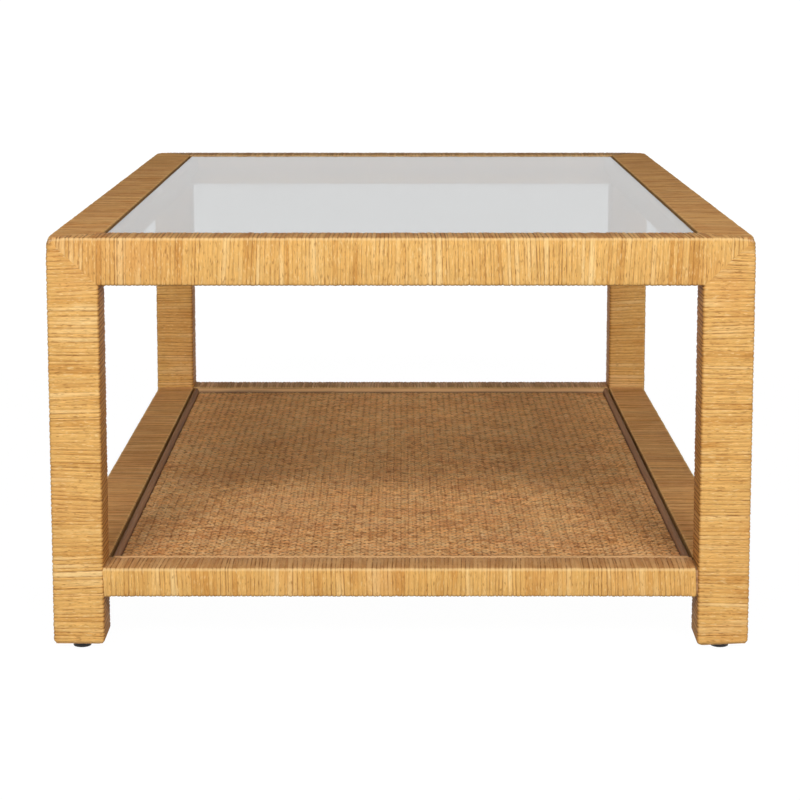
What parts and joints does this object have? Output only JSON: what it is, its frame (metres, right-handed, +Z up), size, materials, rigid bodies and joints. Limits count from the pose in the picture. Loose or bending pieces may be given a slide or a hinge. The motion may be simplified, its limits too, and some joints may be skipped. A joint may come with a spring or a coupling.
{
  "type": "rattan-wrapped coffee table",
  "caption": "Low oblong table: rattan-wrapped wooden frame with a lift-out inset glass top, a woven lower shelf and screw-adjusted levelling feet.",
  "frame": {"origin": "on the floor under the centre of the table", "axes": "+Z up, Y along the long side with the front short side facing -Y, X across the short side"},
  "size_m": [0.762, 1.219, 0.457],
  "materials": {
    "rattan_wrap": "satin split rattan, honey coloured",
    "hardwood": "sawn and planed, bare",
    "plywood": "sanded, bare",
    "rattan_mat": "woven split rattan, satin",
    "rattan_moulding": "half-round rattan, darker stained",
    "glass": "clear, polished edges",
    "clear_bumper": "clear soft disc",
    "black_plastic": "moulded, fine matt",
    "steel": "zinc plated",
    "brass": "turned"
  },
  "bodies": {
    "frame": {"leg_core_front_left": "hardwood", "leg_core_front_right": "hardwood", "leg_core_back_right": "hardwood", "leg_core_back_left": "hardwood", "leg_wrap_front_left": "rattan_wrap", "leg_wrap_front_right": "rattan_wrap", "leg_wrap_back_right": "rattan_wrap", "leg_wrap_back_left": "rattan_wrap", "foot_insert_front_left": "brass", "foot_insert_front_right": "brass", "foot_insert_back_right": "brass", "foot_insert_back_left": "brass", "top_rail_core_front": "hardwood", "top_rail_core_right": "hardwood", "top_rail_core_back": "hardwood", "top_rail_core_left": "hardwood", "top_rail_wrap_front": "rattan_wrap", "top_rail_wrap_right": "rattan_wrap", "top_rail_wrap_back": "rattan_wrap", "top_rail_wrap_left": "rattan_wrap", "shelf_rail_core_front": "hardwood", "shelf_rail_core_right": "hardwood", "shelf_rail_core_back": "hardwood", "shelf_rail_core_left": "hardwood", "shelf_rail_wrap_front": "rattan_wrap", "shelf_rail_wrap_right": "rattan_wrap", "shelf_rail_wrap_back": "rattan_wrap", "shelf_rail_wrap_left": "rattan_wrap", "glass_ledge_front": "hardwood", "glass_ledge_right": "hardwood", "glass_ledge_back": "hardwood", "glass_ledge_left": "hardwood", "glass_bumper_front_left": "clear_bumper", "glass_bumper_front_right": "clear_bumper", "glass_bumper_middle_left": "clear_bumper", "glass_bumper_middle_right": "clear_bumper", "glass_bumper_back_left": "clear_bumper", "glass_bumper_back_right": "clear_bumper", "shelf_panel": "plywood", "shelf_mat": "rattan_mat", "shelf_bearer": "hardwood", "shelf_cleat_front": "hardwood", "shelf_cleat_right": "hardwood", "shelf_cleat_back": "hardwood", "shelf_cleat_left": "hardwood", "shelf_moulding_front": "rattan_moulding", "shelf_moulding_right": "rattan_moulding", "shelf_moulding_back": "rattan_moulding", "shelf_moulding_left": "rattan_moulding"},
    "glass": {"glass_top": "glass"},
    "pad_front_left": {"foot_pad_front_left": "black_plastic"},
    "pad_front_right": {"foot_pad_front_right": "black_plastic"},
    "pad_back_right": {"foot_pad_back_right": "black_plastic"},
    "pad_back_left": {"foot_pad_back_left": "black_plastic"},
    "stem_front_left": {"foot_stem_front_left": "steel"},
    "stem_front_right": {"foot_stem_front_right": "steel"},
    "stem_back_right": {"foot_stem_back_right": "steel"},
    "stem_back_left": {"foot_stem_back_left": "steel"}
  },
  "joints": [
    {"name": "glass_lift", "type": "slide", "parent": "frame", "child": "glass", "axis": [0, 0, 1], "range_m": [0, 0.08]},
    {"name": "foot_drop_front_left", "type": "slide", "parent": "frame", "child": "pad_front_left", "axis": [0, 0, -1], "range_m": [0, 0.01]},
    {"name": "foot_turn_front_left", "type": "hinge", "parent": "pad_front_left", "child": "stem_front_left", "pos_m": [-0.3525, -0.581, 0], "axis": [0, 0, -1], "range_deg": [0, 2880]},
    {"name": "foot_drop_front_right", "type": "slide", "parent": "frame", "child": "pad_front_right", "axis": [0, 0, -1], "range_m": [0, 0.01]},
    {"name": "foot_turn_front_right", "type": "hinge", "parent": "pad_front_right", "child": "stem_front_right", "pos_m": [0.3525, -0.581, 0], "axis": [0, 0, -1], "range_deg": [0, 2880]},
    {"name": "foot_drop_back_right", "type": "slide", "parent": "frame", "child": "pad_back_right", "axis": [0, 0, -1], "range_m": [0, 0.01]},
    {"name": "foot_turn_back_right", "type": "hinge", "parent": "pad_back_right", "child": "stem_back_right", "pos_m": [0.3525, 0.581, 0], "axis": [0, 0, -1], "range_deg": [0, 2880]},
    {"name": "foot_drop_back_left", "type": "slide", "parent": "frame", "child": "pad_back_left", "axis": [0, 0, -1], "range_m": [0, 0.01]},
    {"name": "foot_turn_back_left", "type": "hinge", "parent": "pad_back_left", "child": "stem_back_left", "pos_m": [-0.3525, 0.581, 0], "axis": [0, 0, -1], "range_deg": [0, 2880]}
  ],
  "couplings": [
    {"joint": "foot_drop_front_left", "follows": "foot_turn_front_left", "m_per_rad": 0.00019894},
    {"joint": "foot_drop_front_right", "follows": "foot_turn_front_right", "m_per_rad": 0.00019894},
    {"joint": "foot_drop_back_right", "follows": "foot_turn_back_right", "m_per_rad": 0.00019894},
    {"joint": "foot_drop_back_left", "follows": "foot_turn_back_left", "m_per_rad": 0.00019894}
  ]
}
